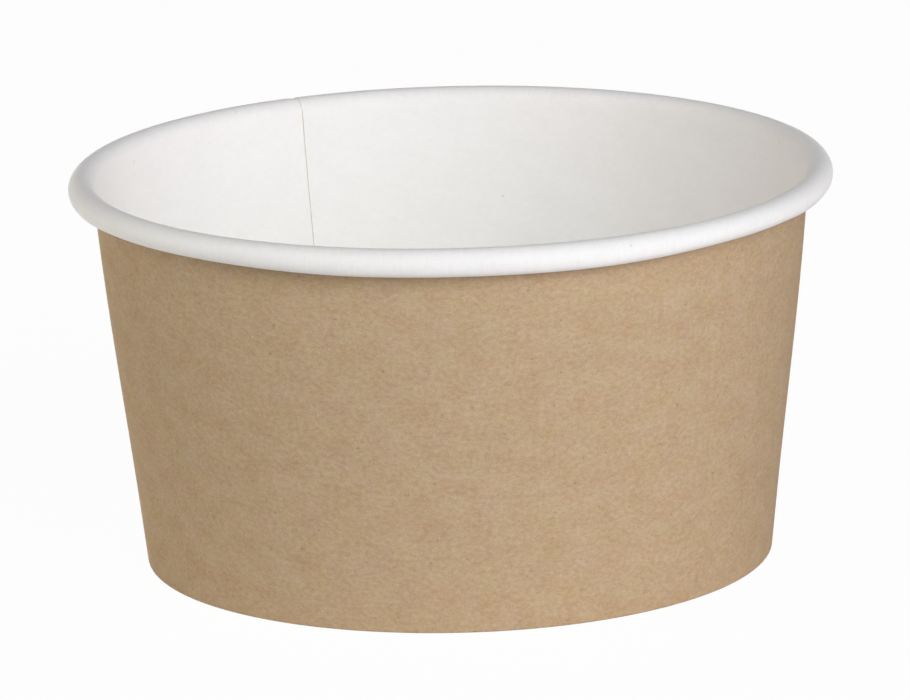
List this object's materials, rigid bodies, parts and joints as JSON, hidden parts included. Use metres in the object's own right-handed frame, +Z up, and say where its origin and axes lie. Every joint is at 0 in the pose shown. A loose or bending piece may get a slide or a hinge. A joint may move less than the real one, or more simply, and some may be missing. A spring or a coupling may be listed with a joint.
{
  "type": "paper deli pot",
  "caption": "Round tapered paper food pot with a rolled rim, an overlapped side seam and a raised base held in a folded foot.",
  "frame": {"origin": "centre of the foot, on the surface that the pot stands on", "axes": "+Z up along the pot's axis, towards the open rim. The side seam's inner edge lies at a bearing of 115.3 degrees from +X, counter-clockwise seen from above. The picture looks along +Y."},
  "size_m": [0.15, 0.15, 0.078],
  "materials": {
    "kraft_board": "uncoated kraft outside, smooth white coating inside",
    "white_board": "smooth white coating"
  },
  "bodies": {
    "root": {"side_wall": "kraft_board", "base_disc": "white_board"}
  },
  "joints": []
}
